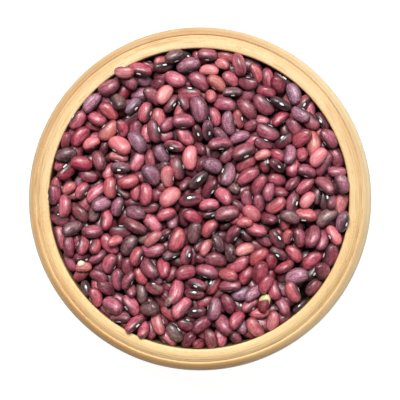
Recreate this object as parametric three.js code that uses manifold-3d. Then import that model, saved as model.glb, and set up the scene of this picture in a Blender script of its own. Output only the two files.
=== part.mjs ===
// A bowl of dried red beans: a thick bowl turned from one piece of pale wood, filled a little above
// its rim with small kidney-shaped beans. Millimetres, +Z up, origin at the centre of the foot's
// underside. The bowl is one solid, and so is the heap: a core that fits the bowl, with the beans
// that show fused on it.
import * as THREE from "three";
import { mergeVertices } from "three/addons/utils/BufferGeometryUtils.js";
import Module from "manifold-3d";

const wasm = await Module();
wasm.setup();

// ---- Driving dimensions of the bowl ----
const BOWL_RADIUS = 75; // at its widest, below the rim
const BOWL_HEIGHT = 56;
const MOUTH_RADIUS = 65.3; // inner edge of the rim
const RIM_OUTER_RADIUS = 70.9; // where the flat rim ends and the rounded shoulder starts
const SHOULDER_DROP = 6; // from the rim down to the widest circle
const LIP_ROUNDING = 0.7; // of the inner edge
const GROOVE_WIDTH = 0.7; // a fine turned line between rim and shoulder
const GROOVE_DEPTH = 0.35;
const FLOOR_THICKNESS = 9; // from the foot's underside to the floor inside
const FOOT_RADIUS = 34;
const FOOT_HOLLOW_RADIUS = 27; // a shallow hollow inside the foot ring
const FOOT_HOLLOW_DEPTH = 2;
const FOOT_BEVEL = 0.8;
const WALL_LOWEST = -2.5; // the outer wall's curve aims this low, under the middle of the foot
const OUTSIDE_FULLNESS = 2.4; // exponents of the superellipses: 2 is an ellipse, more is boxier
const INSIDE_FULLNESS = 2.8;
const TURN_SEGMENTS = 48;
const CURVE_STEPS = 7; // of the wall's two curves
const SHOULDER_STEPS = 3;

// ---- Driving dimensions of the heap ----
const BEAN_LENGTH = 10.4; // a middling bean
const BEAN_WIDTH = 6.9; // from its belly, where the eye is, to its back
const BEAN_THICKNESS = 5.4;
const BEAN_BEND = 1.4; // how far the ends curl towards the belly
const BEAN_SIDES = 5;
const BEAN_RINGS = 4;
const SIZE_SPREAD = 0.12; // sizes vary by this share, up and down
const ROLL_SPREAD = 0.9; // radians about the bean's length, up and down
const PITCH_SPREAD = 0.25; // radians that one end stands above the other, up and down
const BEAN_COUNT = 184; // those that show
const SINK = 1.7; // the lowest of them lie this much deeper than the highest
const SQUEEZE = 0.4; // neighbours reach under each other by this much, seen from above
const HEAP_CROWN = 6.5; // how much the middle of the heap stands above its edge
const HEAP_EDGE_BELOW_RIM = 1.2;
const CORE_BELOW_HEAP = 3.9; // the bare core lies this deep under the tops of the beans
const CORE_SEGMENTS = 24; // coarse, as little of it shows
const CORE_TOP_STEPS = 3;
const GAP = 0.35; // air between the bowl and what is in it
const SEED = 20417;
const GOLDEN_ANGLE = Math.PI * (3 - Math.sqrt(5));
const SHOVE_ROUNDS = 60;
const SHOVE_SHARE = 0.12; // of an overlap that one shove takes away

const wood = new THREE.MeshStandardMaterial({ color: 0xf0cc94, roughness: 0.62, metalness: 0 });
const beanCoat = new THREE.MeshStandardMaterial({ color: 0x7c3244, roughness: 0.34, metalness: 0 });

// ---- Small helpers ----
const { lerp } = THREE.MathUtils;
const at = (r, z) => new THREE.Vector2(r, z);

// A repeatable stream of numbers from 0 to 1.
function seededRandom(seed) {
  let state = seed >>> 0;
  return () => {
    state = (state + 0x6d2b79f5) >>> 0;
    let t = Math.imul(state ^ (state >>> 15), 1 | state);
    t = (t + Math.imul(t ^ (t >>> 7), 61 | t)) ^ t;
    return ((t ^ (t >>> 14)) >>> 0) / 4294967296;
  };
}

// Points (radius, height) of a superellipse's quarter, from its lowest point on the axis, or from
// the angle given, up to its widest point.
function quarterCurve(radius, topZ, bottomZ, fullness, fromAngle = 0) {
  return Array.from({ length: CURVE_STEPS + 1 }, (_, i) => {
    const angle = lerp(fromAngle, Math.PI / 2, i / CURVE_STEPS);
    const down = Math.pow(Math.cos(angle), 2 / fullness);
    return at(radius * Math.pow(Math.sin(angle), 2 / fullness), topZ - (topZ - bottomZ) * down);
  });
}

// A profile of (radius, height) points, turned about +Z into a closed solid.
function turned(points, segments) {
  return new THREE.LatheGeometry(points, segments).rotateX(Math.PI / 2);
}

// ---- The bowl ----
// The inside wall, from the middle of the floor up to the rim.
const insideWall = quarterCurve(MOUTH_RADIUS, BOWL_HEIGHT, FLOOR_THICKNESS, INSIDE_FULLNESS);

// How wide the bowl is inside at a height.
function insideRadius(z) {
  const above = insideWall.findIndex((p) => p.y > z);
  if (above < 0) return MOUTH_RADIUS;
  if (above === 0) return 0;
  const [low, high] = insideWall.slice(above - 1, above + 1);
  return lerp(low.x, high.x, (z - low.y) / (high.y - low.y));
}

// The outer wall starts where its superellipse is as wide as the foot.
function outsideWall(widestZ) {
  const footAngle = Math.asin(Math.pow(FOOT_RADIUS / BOWL_RADIUS, OUTSIDE_FULLNESS / 2));
  return quarterCurve(BOWL_RADIUS, widestZ, WALL_LOWEST, OUTSIDE_FULLNESS, footAngle);
}

// A quarter of an ellipse, from the widest circle up to the groove beside the rim.
function shoulder(widestZ) {
  const reach = BOWL_RADIUS - RIM_OUTER_RADIUS - GROOVE_WIDTH / 2;
  return Array.from({ length: SHOULDER_STEPS }, (_, i) => {
    const angle = ((i + 1) / SHOULDER_STEPS) * (Math.PI / 2);
    return at(BOWL_RADIUS - reach * (1 - Math.cos(angle)), widestZ + SHOULDER_DROP * Math.sin(angle));
  });
}

function bowlProfile() {
  const foot = [
    at(0, FOOT_HOLLOW_DEPTH),
    at(FOOT_HOLLOW_RADIUS - FOOT_HOLLOW_DEPTH, FOOT_HOLLOW_DEPTH),
    at(FOOT_HOLLOW_RADIUS, 0),
    at(FOOT_RADIUS - FOOT_BEVEL, 0),
    at(FOOT_RADIUS, FOOT_BEVEL),
  ];
  const widestZ = BOWL_HEIGHT - SHOULDER_DROP;
  const lipMiddle = LIP_ROUNDING * (1 - Math.SQRT1_2);
  const rim = [
    at(RIM_OUTER_RADIUS, BOWL_HEIGHT - GROOVE_DEPTH),
    at(RIM_OUTER_RADIUS - GROOVE_WIDTH / 2, BOWL_HEIGHT),
    at(MOUTH_RADIUS + LIP_ROUNDING, BOWL_HEIGHT),
    at(MOUTH_RADIUS + lipMiddle, BOWL_HEIGHT - lipMiddle),
    at(MOUTH_RADIUS, BOWL_HEIGHT - LIP_ROUNDING),
  ];
  const inside = insideWall.slice(0, -1).reverse();
  return [...foot, ...outsideWall(widestZ), ...shoulder(widestZ), ...rim, ...inside];
}

// ---- The heap ----
// Height of the smooth surface that the beans' tops reach, at a radius from the axis.
function heapZ(radius) {
  const share = radius / MOUTH_RADIUS;
  return BOWL_HEIGHT - HEAP_EDGE_BELOW_RIM + HEAP_CROWN * (1 - share * share);
}

// The core: the bowl's hollow less the gap, under a top that follows the heap's surface.
function coreProfile() {
  const edgeZ = heapZ(MOUTH_RADIUS) - CORE_BELOW_HEAP;
  const sides = insideWall
    .map((p) => at(Math.max(0, p.x - GAP), p.y + GAP))
    .filter((p) => p.y < edgeZ);
  const edgeRadius = insideRadius(edgeZ) - GAP;
  const top = Array.from({ length: CORE_TOP_STEPS + 1 }, (_, i) => {
    const radius = edgeRadius * (1 - i / CORE_TOP_STEPS);
    return at(radius, heapZ(radius) - CORE_BELOW_HEAP);
  });
  return [...sides, ...top];
}

// One bean, its length along X, its back towards +Y, lying on its flat side.
function beanGeometry() {
  const bean = new THREE.SphereGeometry(1, BEAN_SIDES, BEAN_RINGS).rotateZ(Math.PI / 2);
  const place = bean.getAttribute("position");
  for (let i = 0; i < place.count; i++) {
    const along = place.getX(i);
    const y = (place.getY(i) * BEAN_WIDTH) / 2 - BEAN_BEND * along * along;
    place.setXYZ(i, (along * BEAN_LENGTH) / 2, y, (place.getZ(i) * BEAN_THICKNESS) / 2);
  }
  return bean;
}

function corners(geometry) {
  const place = geometry.getAttribute("position");
  return Array.from({ length: place.count }, (_, i) =>
    new THREE.Vector3().fromBufferAttribute(place, i),
  );
}

// Whether each corner of a bean is clear of the bowl.
function insideBowl(points) {
  return points.every((p) => Math.hypot(p.x, p.y) < insideRadius(Math.min(p.z, BOWL_HEIGHT)) - GAP);
}

// Centres and radius of the three discs that stand for a bean seen from above.
function footprint(bean) {
  const halfWidth = Math.hypot(
    (BEAN_WIDTH / 2) * Math.cos(bean.roll),
    (BEAN_THICKNESS / 2) * Math.sin(bean.roll),
  );
  const radius = halfWidth * bean.size;
  const reach = (BEAN_LENGTH / 2) * bean.size - radius;
  const along = new THREE.Vector2(Math.cos(bean.yaw), Math.sin(bean.yaw)).multiplyScalar(reach);
  const offsets = [-1, 0, 1].map((side) => along.clone().multiplyScalar(side));
  return { offsets, radius };
}

// Shoves a bean at a point of its footprint, which shifts it and turns it a little.
function shove(bean, offset, push) {
  bean.place.add(push);
  bean.yaw += offset.cross(push) / BEAN_LENGTH ** 2;
}

// Moves two beans apart where their footprints overlap by more than the squeeze.
function separate(a, b) {
  if (a.place.distanceTo(b.place) > BEAN_LENGTH * (1 + SIZE_SPREAD)) return;
  const [printA, printB] = [footprint(a), footprint(b)];
  for (const offsetA of printA.offsets) {
    for (const offsetB of printB.offsets) {
      const apart = a.place.clone().add(offsetA).sub(b.place).sub(offsetB);
      const overlap = printA.radius + printB.radius - SQUEEZE - apart.length();
      if (overlap <= 0) continue;
      const push = apart.setLength(overlap * SHOVE_SHARE);
      shove(a, offsetA, push);
      shove(b, offsetB, push.clone().negate());
    }
  }
}

// Brings a bean back inside the bowl's mouth.
function contain(bean) {
  const { offsets, radius } = footprint(bean);
  for (const offset of offsets) {
    const place = bean.place.clone().add(offset);
    const past = place.length() + radius - (MOUTH_RADIUS - GAP);
    if (past > 0) shove(bean, offset, place.setLength(-past));
  }
}

// The beans of the heap's surface: a sunflower pattern with random turns, then many small shoves
// that spread out those that crowd each other.
function scatterBeans() {
  const random = seededRandom(SEED);
  const vary = (spread) => spread * (2 * random() - 1);
  const beans = Array.from({ length: BEAN_COUNT }, (_, i) => {
    const radius = (MOUTH_RADIUS - BEAN_WIDTH / 2) * Math.sqrt((i + 0.5) / BEAN_COUNT);
    const angle = i * GOLDEN_ANGLE;
    return {
      place: new THREE.Vector2(radius * Math.cos(angle), radius * Math.sin(angle)),
      size: 1 + vary(SIZE_SPREAD),
      yaw: vary(Math.PI),
      roll: vary(ROLL_SPREAD),
      pitch: vary(PITCH_SPREAD),
      sink: SINK * random(),
    };
  });
  for (let round = 0; round < SHOVE_ROUNDS; round++) {
    beans.forEach((a, i) => beans.slice(i + 1).forEach((b) => separate(a, b)));
    beans.forEach(contain);
  }
  return beans;
}

// Lays a bean so that its top reaches the heap's surface, less its sink.
function beanMatrix(bean) {
  const { place, size, sink } = bean;
  const turn = new THREE.Euler(bean.roll, bean.pitch, bean.yaw, "ZYX");
  const matrix = new THREE.Matrix4().makeRotationFromEuler(turn);
  const halves = [BEAN_LENGTH / 2, BEAN_WIDTH / 2, BEAN_THICKNESS / 2];
  const upShares = [matrix.elements[2], matrix.elements[6], matrix.elements[10]];
  const topReach = Math.hypot(...halves.map((half, i) => half * upShares[i])) * size;
  const z = heapZ(place.length()) - topReach - sink;
  return matrix.scale(new THREE.Vector3(size, size, size)).setPosition(place.x, place.y, z);
}

// Moves a bean towards the axis until every corner of it is clear of the bowl.
function fittedMatrix(bean, shapeCorners) {
  const placed = beanMatrix(bean);
  if (insideBowl(shapeCorners.map((corner) => corner.clone().applyMatrix4(placed)))) return placed;
  bean.place.setLength(bean.place.length() - GAP);
  return fittedMatrix(bean, shapeCorners);
}

// ---- Joining ----
// A solid from a closed geometry: corners are merged and the slivers at its poles left out.
function solidOf(geometry, matrix = new THREE.Matrix4()) {
  const bare = new THREE.BufferGeometry();
  bare.setAttribute("position", geometry.getAttribute("position").clone());
  if (geometry.index) bare.setIndex(geometry.index.clone());
  const merged = mergeVertices(bare.applyMatrix4(matrix), 1e-3);
  const index = Array.from(merged.index.array);
  const faces = [];
  for (let i = 0; i < index.length; i += 3) {
    const [a, b, c] = index.slice(i, i + 3);
    if (a !== b && b !== c && c !== a) faces.push(a, b, c);
  }
  return new wasm.Manifold(
    new wasm.Mesh({
      numProp: 3,
      vertProperties: merged.getAttribute("position").array,
      triVerts: new Uint32Array(faces),
    }),
  );
}

function geometryOf(solid) {
  const mesh = solid.getMesh();
  const geometry = new THREE.BufferGeometry();
  geometry.setAttribute("position", new THREE.BufferAttribute(mesh.vertProperties, mesh.numProp));
  geometry.setIndex(new THREE.BufferAttribute(mesh.triVerts, 1));
  return geometry;
}

// The core with every bean fused on. Only the outer skin is kept, which fills sealed hollows.
function heapGeometry() {
  const shape = beanGeometry();
  const shapeCorners = corners(shape);
  let heap = solidOf(turned(coreProfile(), CORE_SEGMENTS));
  for (const bean of scatterBeans()) {
    heap = heap.add(solidOf(shape, fittedMatrix(bean, shapeCorners)));
  }
  const skins = heap.decompose().sort((a, b) => b.volume() - a.volume());
  return geometryOf(skins[0]);
}

// ---- The object ----
const bowl = new THREE.Mesh(turned(bowlProfile(), TURN_SEGMENTS), wood);
bowl.name = "bowl";
const beans = new THREE.Mesh(heapGeometry(), beanCoat);
beans.name = "beans";

const bowlOfBeans = new THREE.Group();
bowlOfBeans.add(bowl, beans);
export default bowlOfBeans;
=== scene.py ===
# %% [markdown]
# # A bowl of dried beans
# A thick bowl turned from one piece of pale wood, filled a little past its rim with small red
# kidney-shaped beans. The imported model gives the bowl's outline and the heap's place and size.
# This script dresses it: it turns a smooth bowl, lets several hundred beans tumble into it until
# they lie still, and gives every surface a finish made of nodes.

# %% Load the frame
import math
import random

import bpy
import numpy as np
from mathutils import Euler, Matrix, Quaternion, Vector
from mathutils.bvhtree import BVHTree


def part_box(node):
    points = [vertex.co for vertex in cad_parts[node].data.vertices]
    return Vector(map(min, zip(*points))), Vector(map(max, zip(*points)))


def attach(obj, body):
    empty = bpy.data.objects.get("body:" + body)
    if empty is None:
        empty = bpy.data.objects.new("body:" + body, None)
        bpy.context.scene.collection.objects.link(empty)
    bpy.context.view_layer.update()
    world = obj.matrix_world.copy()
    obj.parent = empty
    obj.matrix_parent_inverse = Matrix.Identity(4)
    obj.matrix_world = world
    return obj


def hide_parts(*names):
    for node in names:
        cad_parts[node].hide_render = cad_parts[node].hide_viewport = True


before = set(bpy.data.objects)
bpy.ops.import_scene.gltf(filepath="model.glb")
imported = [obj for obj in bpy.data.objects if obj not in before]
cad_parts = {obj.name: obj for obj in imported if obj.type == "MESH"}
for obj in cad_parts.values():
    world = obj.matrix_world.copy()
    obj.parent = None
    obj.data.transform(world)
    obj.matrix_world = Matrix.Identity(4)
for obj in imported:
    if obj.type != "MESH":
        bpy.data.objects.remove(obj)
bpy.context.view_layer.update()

MM = 0.001

# %% [markdown]
# ## The camera
# The bowl is seen from straight above, by a camera that leans a few degrees towards +X. It is
# aimed close to the middle of the bowl's widest circle. The length of its lens could be found by
# trial, but is worked out at once from how much of that level it has to take in.

# %% Camera
SHOULDER_DROP = 6 * MM  # from the rim down to the widest circle
BOWL_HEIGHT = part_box("bowl")[1].z
CAMERA_DISTANCE = 600 * MM
CAMERA_LEAN = math.radians(3.8)
CAMERA_AIM = Vector((0.5 * MM, -0.5 * MM, BOWL_HEIGHT - SHOULDER_DROP))
SEEN_WIDTH = 175 * MM  # of the level of the widest circle

lens = bpy.data.cameras.new("camera")
lens.lens = lens.sensor_width * CAMERA_DISTANCE / SEEN_WIDTH
camera = bpy.data.objects.new("camera", lens)
towards_camera = Vector((math.sin(CAMERA_LEAN), 0, math.cos(CAMERA_LEAN)))
camera.location = CAMERA_AIM + CAMERA_DISTANCE * towards_camera
camera.rotation_euler = (0, CAMERA_LEAN, 0)
bpy.context.scene.collection.objects.link(camera)
bpy.context.scene.camera = camera
print("the lens is", round(lens.lens), "mm long")

# %% [markdown]
# ## Nodes from Python
# A material is a tree of nodes. Wiring one by hand takes three lines a node, so a `Recipe` adds a
# node in one: its type, its settings, and what its sockets hold. A number that flows between nodes
# is an `Amount`, which adds a Math node whenever it is added to, multiplied or divided.

# %% Recipe
class Recipe:
    """Adds nodes to one tree."""

    def __init__(self, tree):
        self.tree = tree

    def node(self, kind, settings=None, sockets=None):
        """A node of a type, with its settings, and a value or a link for each socket given."""
        node = self.tree.nodes.new(kind)
        for name, value in (settings or {}).items():
            setattr(node, name, value)
        for name, value in (sockets or {}).items():
            self.plug(node.inputs[name], value)
        return node

    def plug(self, socket, value):
        """Links a socket to what flows from another node, or sets it to a plain value."""
        if isinstance(value, Amount):
            value = value.socket
        if isinstance(value, bpy.types.NodeSocket):
            self.tree.links.new(value, socket)
        else:
            socket.default_value = value

    def amount(self, kind, settings=None, sockets=None):
        """The number that a new node gives."""
        return Amount(self, self.node(kind, settings, sockets).outputs[0])


# %% Amount
class Amount:
    """A number that flows from one node to others."""

    def __init__(self, recipe, socket):
        self.recipe = recipe
        self.socket = socket

    def maths(self, operation, *values):
        """The result of a Math node."""
        settings = {"operation": operation}
        return self.recipe.amount("ShaderNodeMath", settings, dict(enumerate(values)))

    def __add__(self, other):
        return self.maths("ADD", self, other)

    def __radd__(self, other):
        return self.maths("ADD", other, self)

    def __sub__(self, other):
        return self.maths("SUBTRACT", self, other)

    def __rsub__(self, other):
        return self.maths("SUBTRACT", other, self)

    def __mul__(self, other):
        return self.maths("MULTIPLY", self, other)

    def __rmul__(self, other):
        return self.maths("MULTIPLY", other, self)

    def __truediv__(self, other):
        return self.maths("DIVIDE", self, other)

    def __pow__(self, other):
        return self.maths("POWER", self, other)

    def fraction(self):
        return self.maths("FRACT", self)

    def fade(self, low, high):
        """0 below low, 1 above high, a smooth rise between; the other way round if low > high."""
        start, end = (0, 1) if low < high else (1, 0)
        sockets = {"Value": self, "From Min": min(low, high), "From Max": max(low, high)}
        sockets |= {"To Min": start, "To Max": end}
        return self.recipe.amount("ShaderNodeMapRange", {"interpolation_type": "SMOOTHSTEP"}, sockets)


# %% [markdown]
# ## Colours and finishes
# Colours are written as they look on a screen and turned into the linear numbers that light adds
# up in. Every finish starts from the same call: a new material with a Principled shader whose
# even, unvarying values are set straight on its sockets. What varies is painted in layers, each
# with its own share, from 0 where the layer is absent to 1 where it hides what lies under it.

# %% Start a finish
def paint(code):
    """A linear colour from one written as on a screen, such as "a04050"."""
    parts = [int(code[i : i + 2], 16) / 255 for i in (0, 2, 4)]
    linear = [p / 12.92 if p <= 0.04045 else ((p + 0.055) / 1.055) ** 2.4 for p in parts]
    return (*linear, 1.0)


def new_finish(name, **even):
    """A material, its recipe and its Principled shader, with even values set by socket name."""
    material = bpy.data.materials.new(name)
    material.use_nodes = True
    recipe = Recipe(material.node_tree)
    shader = material.node_tree.nodes["Principled BSDF"]
    for socket, value in even.items():
        shader.inputs[socket.replace("_", " ")].default_value = value
    return material, recipe, shader


# %% What a finish reads
def object_place(recipe):
    """Where a point of the surface is, in the object's own coordinates."""
    return recipe.node("ShaderNodeTexCoord").outputs["Object"]


def kept_on_points(recipe, name, output="Fac"):
    """What the mesh keeps on its points under a name."""
    return recipe.node("ShaderNodeAttribute", {"attribute_name": name}).outputs[output]


def numbers_of(recipe, vector):
    """A vector's three numbers."""
    outputs = recipe.node("ShaderNodeSeparateXYZ", None, {0: vector}).outputs
    return [Amount(recipe, socket) for socket in outputs]


def noise(recipe, place, scale, detail=2.0, roughness=0.5, distortion=0.0):
    """Cloudy noise from 0 to 1; scale is in bumps to the metre."""
    sockets = {"Vector": place, "Scale": scale, "Detail": detail, "Roughness": roughness}
    return recipe.amount("ShaderNodeTexNoise", None, sockets | {"Distortion": distortion})


# %% What a finish paints
def blend(recipe, share, first, second):
    """A colour between two others. A Mix node has sockets of the same names for numbers, vectors
    and colours, so those for colours go by number."""
    sockets = {0: share, 6: first, 7: second}
    return recipe.node("ShaderNodeMix", {"data_type": "RGBA"}, sockets).outputs[2]


def layered(recipe, colour, *layers):
    """A colour with others painted over it, one after another, each a (share, colour)."""
    for share, layer in layers:
        colour = blend(recipe, share, colour, paint(layer) if isinstance(layer, str) else layer)
    return colour


def emboss(recipe, shader, height, strength, depth):
    """Lets light fall on the surface as if it rose where the height is greater."""
    bump = {"Strength": strength, "Distance": depth, "Height": height}
    recipe.plug(shader.inputs["Normal"], recipe.node("ShaderNodeBump", None, bump).outputs[0])


# %% [markdown]
# ## Floor and light
# The bowl stands on a light table, a white sheet that glows a little, so its shadow stays faint.
# A wide soft lamp hangs overhead, behind the bowl's middle, and a weaker one stands to the right.
# The room itself is dark: what little light comes from all round is what would reach into the
# gaps between the beans, and those are to stay deep.

# %% Floor
FLOOR_REACH = 1.5  # metres from the middle to each side
FLOOR_GLOW = 0.97
FLOOR_CLOUDS = 4.0  # bumps to the metre


def light_table_finish():
    """A white sheet with light behind it."""
    glow = {"Emission_Color": paint("ffffff"), "Emission_Strength": FLOOR_GLOW}
    even = {"Roughness": 0.9, "Specular_IOR_Level": 0.1}
    material, recipe, shader = new_finish("light_table", **even, **glow)
    clouds = noise(recipe, object_place(recipe), FLOOR_CLOUDS)
    recipe.plug(shader.inputs["Base Color"], blend(recipe, clouds, paint("6c6c6c"), paint("747474")))
    return material


corners = [(x * FLOOR_REACH, y * FLOOR_REACH, 0) for x, y in ((-1, -1), (1, -1), (1, 1), (-1, 1))]
floor_mesh = bpy.data.meshes.new("floor")
floor_mesh.from_pydata(corners, [], [(0, 1, 2, 3)])
floor_mesh.materials.append(light_table_finish())
floor = bpy.data.objects.new("floor", floor_mesh)
bpy.context.scene.collection.objects.link(floor)
print("the floor is", 2 * FLOOR_REACH, "m wide")

# %% Lamps
LAMPS = {  # azimuth and elevation in degrees, distance and size in metres, watts, colour
    "overhead": (97, 63, 2.4, 1.1, 78.0, "fffdfb"),
    "window": (38, 34, 2.4, 1.2, 14.0, "ffffff"),
}


def soft_lamp(name, azimuth, elevation, distance, size, power, colour):
    """A square lamp that looks at the rim's middle; azimuth 0 is towards +X and 90 towards +Y."""
    lamp = bpy.data.lights.new(name, "AREA")
    lamp.size = size
    lamp.energy = power
    lamp.color = paint(colour)[:3]
    holder = bpy.data.objects.new(name, lamp)
    across, up = math.radians(azimuth), math.radians(elevation)
    level = math.cos(up)
    towards = Vector((math.cos(across) * level, math.sin(across) * level, math.sin(up)))
    holder.location = Vector((0, 0, BOWL_HEIGHT)) + distance * towards
    holder.rotation_euler = towards.to_track_quat("Z", "Y").to_euler()
    bpy.context.scene.collection.objects.link(holder)


for name, values in LAMPS.items():
    soft_lamp(name, *values)
print(len(LAMPS), "lamps light the bowl")

# %% Room
ROOM_LIGHT = 0.04

room = bpy.data.worlds.new("room")
room.use_nodes = True
background = room.node_tree.nodes["Background"]
background.inputs["Color"].default_value = paint("ffffff")
background.inputs["Strength"].default_value = ROOM_LIGHT
bpy.context.scene.world = room
bpy.context.scene.view_settings.view_transform = "Standard"
print("the room gives", ROOM_LIGHT, "of the light of a white sky")

# %% [markdown]
# ## The bowl
# A turner cuts a bowl on a lathe, so one outline spun about the middle is all there is to it. The
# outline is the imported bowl's own, with the same sizes, and only has more points on its curves.
# It starts and ends on the axis, and the two points there close the mesh at its poles. A Screw
# modifier would spin it too, but in code each point can also be told whether it lies outside.

# %% The bowl's sizes
BOWL_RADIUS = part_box("bowl")[1].x
MOUTH_RADIUS = 65.3 * MM
RIM_OUTER_RADIUS = 70.9 * MM
LIP_ROUNDING = 0.7 * MM
GROOVE_WIDTH = 0.7 * MM
GROOVE_DEPTH = 0.35 * MM
FLOOR_THICKNESS = 9 * MM
FOOT_RADIUS = 34 * MM
FOOT_HOLLOW_RADIUS = 27 * MM
FOOT_HOLLOW_DEPTH = 2 * MM
FOOT_BEVEL = 0.8 * MM
WALL_LOWEST = -2.5 * MM  # where the wall's curve would meet the axis
OUTSIDE_FULLNESS = 2.4  # 2 is an ellipse, and more is fuller
INSIDE_FULLNESS = 2.8
OUTSIDE_STEPS = 26
INSIDE_STEPS = 24
print("the mouth is", round(2 * MOUTH_RADIUS / MM, 1), "mm wide")


# %% Curves
def quarter_curve(radius, top, bottom, fullness, steps, start=0.0):
    """A superellipse's quarter, from its lowest point on the axis, or an angle, to its widest."""
    angles = np.linspace(start, math.pi / 2, steps + 1)
    down = np.maximum(np.cos(angles), 0) ** (2 / fullness)
    across = np.sin(angles) ** (2 / fullness)
    return [(radius * a, top - (top - bottom) * d) for a, d in zip(across, down)]


def rounding(centre, radii, first, last, steps):
    """Points of an elliptical arc about a centre, between two angles in degrees."""
    angles = np.radians(np.linspace(first, last, steps + 1))
    return [(centre[0] + radii[0] * math.cos(a), centre[1] + radii[1] * math.sin(a)) for a in angles]


# %% The bowl's outline
def outside_outline():
    """From the middle of the foot up the wall and over the shoulder to the groove."""
    widest = BOWL_HEIGHT - SHOULDER_DROP
    foot = [
        (0, FOOT_HOLLOW_DEPTH),
        (FOOT_HOLLOW_RADIUS - FOOT_HOLLOW_DEPTH, FOOT_HOLLOW_DEPTH),
        (FOOT_HOLLOW_RADIUS, 0),
    ]
    bevel = rounding((FOOT_RADIUS - FOOT_BEVEL, FOOT_BEVEL), (FOOT_BEVEL, FOOT_BEVEL), -90, 0, steps=3)
    foot_angle = math.asin((FOOT_RADIUS / BOWL_RADIUS) ** (OUTSIDE_FULLNESS / 2))
    wall = quarter_curve(BOWL_RADIUS, widest, WALL_LOWEST, OUTSIDE_FULLNESS, OUTSIDE_STEPS, foot_angle)
    reach = BOWL_RADIUS - RIM_OUTER_RADIUS - GROOVE_WIDTH / 2
    shoulder = rounding((BOWL_RADIUS - reach, widest), (reach, SHOULDER_DROP), 0, 90, steps=12)
    return [*foot, *bevel, *wall, *shoulder[1:]]


def inner_wall():
    """From the middle of the bowl's floor up to its mouth."""
    return quarter_curve(MOUTH_RADIUS, BOWL_HEIGHT, FLOOR_THICKNESS, INSIDE_FULLNESS, INSIDE_STEPS)


def inside_outline():
    """From the groove over the flat and the lip, and down to the middle of the bowl's floor."""
    groove_radii = (GROOVE_WIDTH / 2, GROOVE_DEPTH)
    groove = rounding((RIM_OUTER_RADIUS, BOWL_HEIGHT), groove_radii, 0, -180, steps=6)
    lip_centre = (MOUTH_RADIUS + LIP_ROUNDING, BOWL_HEIGHT - LIP_ROUNDING)
    lip = rounding(lip_centre, (LIP_ROUNDING, LIP_ROUNDING), 90, 180, steps=5)
    return [*groove[1:], *lip, *inner_wall()[-2::-1]]


outer_points, inner_points = outside_outline(), inside_outline()
print("the bowl's outline has", len(outer_points) + len(inner_points), "points")


# %% Spin an outline into a mesh
def spun(outline, sides):
    """The points of an outline of (radius, height), spun about Z ring by ring."""
    angles = [2 * math.pi * i / sides for i in range(sides)]
    return [(r * math.cos(a), r * math.sin(a), z) for r, z in outline for a in angles]


def closed_skin(rings, sides):
    """Faces between two poles, which are points 0 and 1, and the rings of points after them."""
    last = 2 + (rings - 1) * sides
    faces = []
    for i in range(sides):
        j = (i + 1) % sides
        faces += [(0, 2 + j, 2 + i), (1, last + i, last + j)]
        for low in range(2, last, sides):
            high = low + sides
            faces.append((low + i, low + j, high + j, high + i))
    return faces


def turned_mesh(name, outline, sides):
    """A closed mesh: an outline of (radius, height) points, from axis to axis, spun about Z."""
    poles = [(0, 0, outline[0][1]), (0, 0, outline[-1][1])]
    rings = outline[1:-1]
    mesh = bpy.data.meshes.new(name)
    mesh.from_pydata(poles + spun(rings, sides), [], closed_skin(len(rings), sides))
    mesh.shade_smooth()
    return mesh


# %% Turn the bowl
BOWL_SIDES = 160


def new_piece(name, mesh):
    """A finished piece of the object, riding on its one body."""
    piece = bpy.data.objects.new(name, mesh)
    bpy.context.scene.collection.objects.link(piece)
    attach(piece, "root")
    return piece


bowl_mesh = turned_mesh("turned_bowl", outer_points + inner_points, BOWL_SIDES)
ring_is_outside = [1.0] * (len(outer_points) - 1) + [0.0] * (len(inner_points) - 1)
is_outside = [1.0, 0.0, *np.repeat(ring_is_outside, BOWL_SIDES)]
bowl_mesh.attributes.new("outside", "FLOAT", "POINT").data.foreach_set("value", is_outside)
bowl = new_piece("turned_bowl", bowl_mesh)
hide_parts("bowl")
print("the turned bowl has", len(bowl.data.polygons), "faces")

# %% [markdown]
# ## Pale wood
# Light hardwood, turned and sanded: bands and streaks of grain that follow the rim, short dark
# pores, and fine lines where the tool paused. Noise that is stretched round the bowl has to meet
# itself after a full turn, so it is four-dimensional: the radius and height take two of its
# numbers and the sine and cosine of the turn the others.

# %% The grain
# bumps to the metre across the grain, bumps to the radian round the bowl, and octaves of detail
BANDS = (260.0, 3.0, 3.0)
STREAKS = (900.0, 9.0, 3.0)
FINE_LINES = (1900.0, 6.0, 2.0)
PORES = (1900.0, 70.0, 2.0)
BLOTCHES = 30.0  # bumps to the metre
SPECKS = 1500.0
BESIDE_ZERO = 1e-5  # keeps the axis itself from dividing by nothing


def grain(recipe, across_scale, round_scale, detail):
    """Noise from 0 to 1 that is stretched round the Z axis and has no seam."""
    x, y, z = numbers_of(recipe, object_place(recipe))
    radius = (x * x + y * y) ** 0.5
    cosine, sine = x / (radius + BESIDE_ZERO), y / (radius + BESIDE_ZERO)
    parts = {"X": radius * across_scale, "Y": z * across_scale, "Z": cosine * round_scale}
    vector = recipe.node("ShaderNodeCombineXYZ", None, parts).outputs[0]
    sockets = {"Vector": vector, "W": sine * round_scale, "Scale": 1.0}
    sockets |= {"Detail": detail, "Roughness": 0.6}
    return recipe.amount("ShaderNodeTexNoise", {"noise_dimensions": "4D"}, sockets)


def grain_figures(recipe):
    """What the grain is made of, by name, each from 0 to 1."""
    place = object_place(recipe)
    blotches = noise(recipe, place, BLOTCHES, 3.0)
    return {
        "bands": grain(recipe, *BANDS),
        "streaks": grain(recipe, *STREAKS).fade(0.35, 0.7),
        "lines": grain(recipe, *FINE_LINES).fade(0.57, 0.68),
        "blotches": blotches,
        "pores": grain(recipe, *PORES).fade(0.6, 0.72) * blotches.fade(0.35, 0.6),
        "specks": noise(recipe, place, SPECKS, 2.0).fade(0.5, 0.75),
    }


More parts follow.
